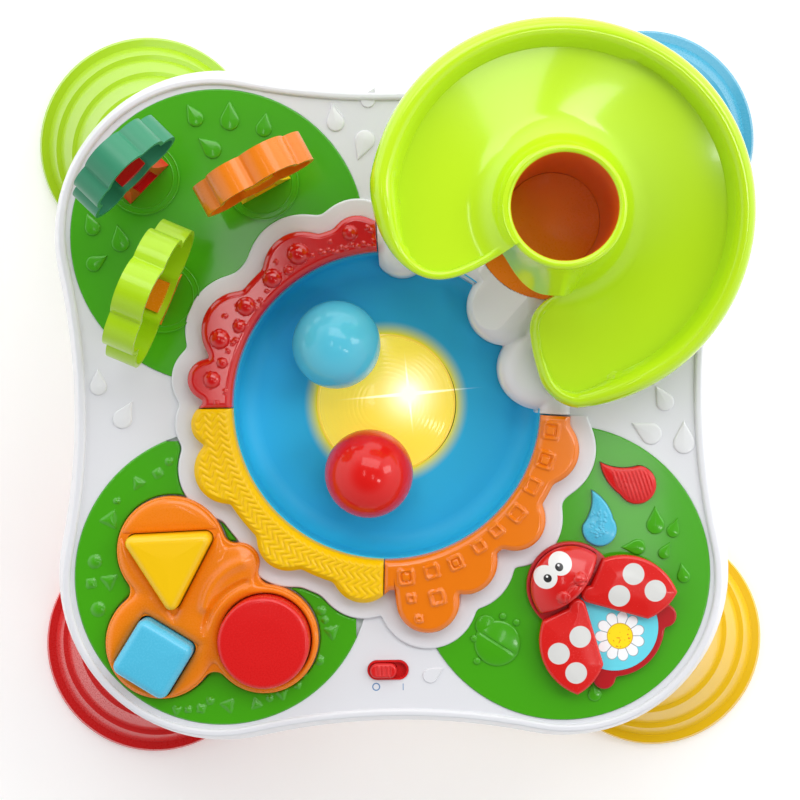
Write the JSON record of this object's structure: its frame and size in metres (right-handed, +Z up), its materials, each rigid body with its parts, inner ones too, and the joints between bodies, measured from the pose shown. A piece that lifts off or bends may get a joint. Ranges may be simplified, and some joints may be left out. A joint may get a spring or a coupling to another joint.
{
  "type": "activity table",
  "caption": "Toddler's activity table: lit bowl with balls, spiral ball slide, turning trees, shape sorter and ladybird with opening wings on a four-legged deck.",
  "frame": {"origin": "on the floor under the middle of the feet's outline", "axes": "+Z up; -Y towards the side with the on/off switch; +X towards the slide's side"},
  "size_m": [0.5285, 0.5286, 0.4066],
  "materials": {
    "white_shell": "satin gloss",
    "blue_bowl": "gloss",
    "yellow_lens": "clear tinted",
    "red_plastic": "gloss",
    "yellow_plastic": "gloss",
    "orange_plastic": "gloss",
    "lime_plastic": "gloss",
    "green_panel": "gloss",
    "dark_green": "satin gloss",
    "sky_blue": "gloss",
    "nylon_clip": "matt",
    "circuit_green": "matt",
    "lamp_clear": "clear",
    "black_plastic": "matt",
    "silicone": "matt",
    "pad_rubber": "matt",
    "steel": "brushed",
    "cell_wrap": "satin"
  },
  "bodies": {
    "table": {"basin": "blue_bowl", "battery_cells": "cell_wrap", "battery_contacts": "steel", "battery_door": "white_shell", "board_screws": "steel", "bottom_shell": "white_shell", "button_panel": "green_panel", "circuit_board": "circuit_green", "cloud_rim": "white_shell", "daisy_disc": "sky_blue", "dome_blue": "silicone", "dome_head": "silicone", "dome_red": "silicone", "exit_chute": "orange_plastic", "foot_pads": "pad_rubber", "ladybird_body": "red_plastic", "lamps": "lamp_clear", "leg_blue": "sky_blue", "leg_green": "lime_plastic", "leg_red": "red_plastic", "leg_yellow": "yellow_plastic", "light_board": "circuit_green", "light_dome": "yellow_lens", "ring_orange": "orange_plastic", "ring_red": "red_plastic", "ring_yellow": "yellow_plastic", "shell_screws": "steel", "slide": "lime_plastic", "slide_switch": "black_plastic", "sorter_panel": "green_panel", "sorter_plate": "orange_plastic", "speaker": "black_plastic", "switch_bezel": "red_plastic", "tabletop_shell": "white_shell", "tree_panel": "green_panel"},
    "dark tree": {"trunk_dark": "red_plastic", "crown_dark": "dark_green", "clip_dark": "nylon_clip"},
    "orange tree": {"trunk_orange": "yellow_plastic", "crown_orange": "orange_plastic", "clip_orange": "nylon_clip"},
    "lime tree": {"trunk_lime": "orange_plastic", "crown_lime": "lime_plastic", "clip_lime": "nylon_clip"},
    "triangle block": {"block_triangle": "yellow_plastic"},
    "square block": {"block_square": "sky_blue"},
    "disc block": {"block_disc": "red_plastic"},
    "blue ball": {"ball_blue": "sky_blue"},
    "red ball": {"ball_red": "red_plastic"},
    "right wing": {"wing_right": "red_plastic", "wing_clip_right": "nylon_clip"},
    "left wing": {"wing_left": "red_plastic", "wing_clip_left": "nylon_clip"},
    "ladybird head": {"ladybird_head": "red_plastic", "clip_head": "nylon_clip"},
    "red button": {"button_red": "red_plastic", "clip_red": "nylon_clip"},
    "blue button": {"button_blue": "sky_blue", "clip_blue": "nylon_clip"},
    "switch knob": {"switch_knob": "red_plastic"}
  },
  "joints": [
    {"name": "dark_tree_turn", "type": "hinge", "parent": "table", "child": "dark tree", "pos_m": [-0.1344, 0.1267, 0.3021], "axis": [0, 0, 1], "continuous": true},
    {"name": "orange_tree_turn", "type": "hinge", "parent": "table", "child": "orange tree", "pos_m": [-0.0688, 0.123, 0.3021], "axis": [0, 0, 1], "continuous": true},
    {"name": "lime_tree_turn", "type": "hinge", "parent": "table", "child": "lime tree", "pos_m": [-0.1242, 0.0615, 0.3021], "axis": [0, 0, 1], "continuous": true},
    {"name": "triangle_lift", "type": "slide", "parent": "table", "child": "triangle block", "axis": [0, 0, 1], "range_m": [0, 0.04]},
    {"name": "square_lift", "type": "slide", "parent": "table", "child": "square block", "axis": [0, 0, 1], "range_m": [0, 0.04]},
    {"name": "disc_lift", "type": "slide", "parent": "table", "child": "disc block", "axis": [0, 0, 1], "range_m": [0, 0.04]},
    {"name": "blue_ball_lift", "type": "slide", "parent": "table", "child": "blue ball", "axis": [0, 0, 1], "range_m": [0, 0.06]},
    {"name": "red_ball_lift", "type": "slide", "parent": "table", "child": "red ball", "axis": [0, 0, 1], "range_m": [0, 0.06]},
    {"name": "right_wing_turn", "type": "hinge", "parent": "table", "child": "right wing", "pos_m": [0.108, -0.105, 0.306], "axis": [0, 0, 1], "range_deg": [-29, 0]},
    {"name": "left_wing_turn", "type": "hinge", "parent": "table", "child": "left wing", "pos_m": [0.101, -0.112, 0.306], "axis": [0, 0, 1], "range_deg": [0, 29]},
    {"name": "head_press", "type": "slide", "parent": "table", "child": "ladybird head", "axis": [0, 0, -1], "range_m": [0, 0.0025], "stiffness_N_per_m": 600, "springref_m": -0.0008, "deforming": ["dome_head"]},
    {"name": "red_press", "type": "slide", "parent": "table", "child": "red button", "axis": [0, 0, -1], "range_m": [0, 0.0025], "stiffness_N_per_m": 600, "springref_m": -0.0008, "deforming": ["dome_red"]},
    {"name": "blue_press", "type": "slide", "parent": "table", "child": "blue button", "axis": [0, 0, -1], "range_m": [0, 0.0025], "stiffness_N_per_m": 600, "springref_m": -0.0008, "deforming": ["dome_blue"]},
    {"name": "switch_slide", "type": "slide", "parent": "table", "child": "switch knob", "axis": [1, 0, 0], "range_m": [0, 0.005]}
  ]
}
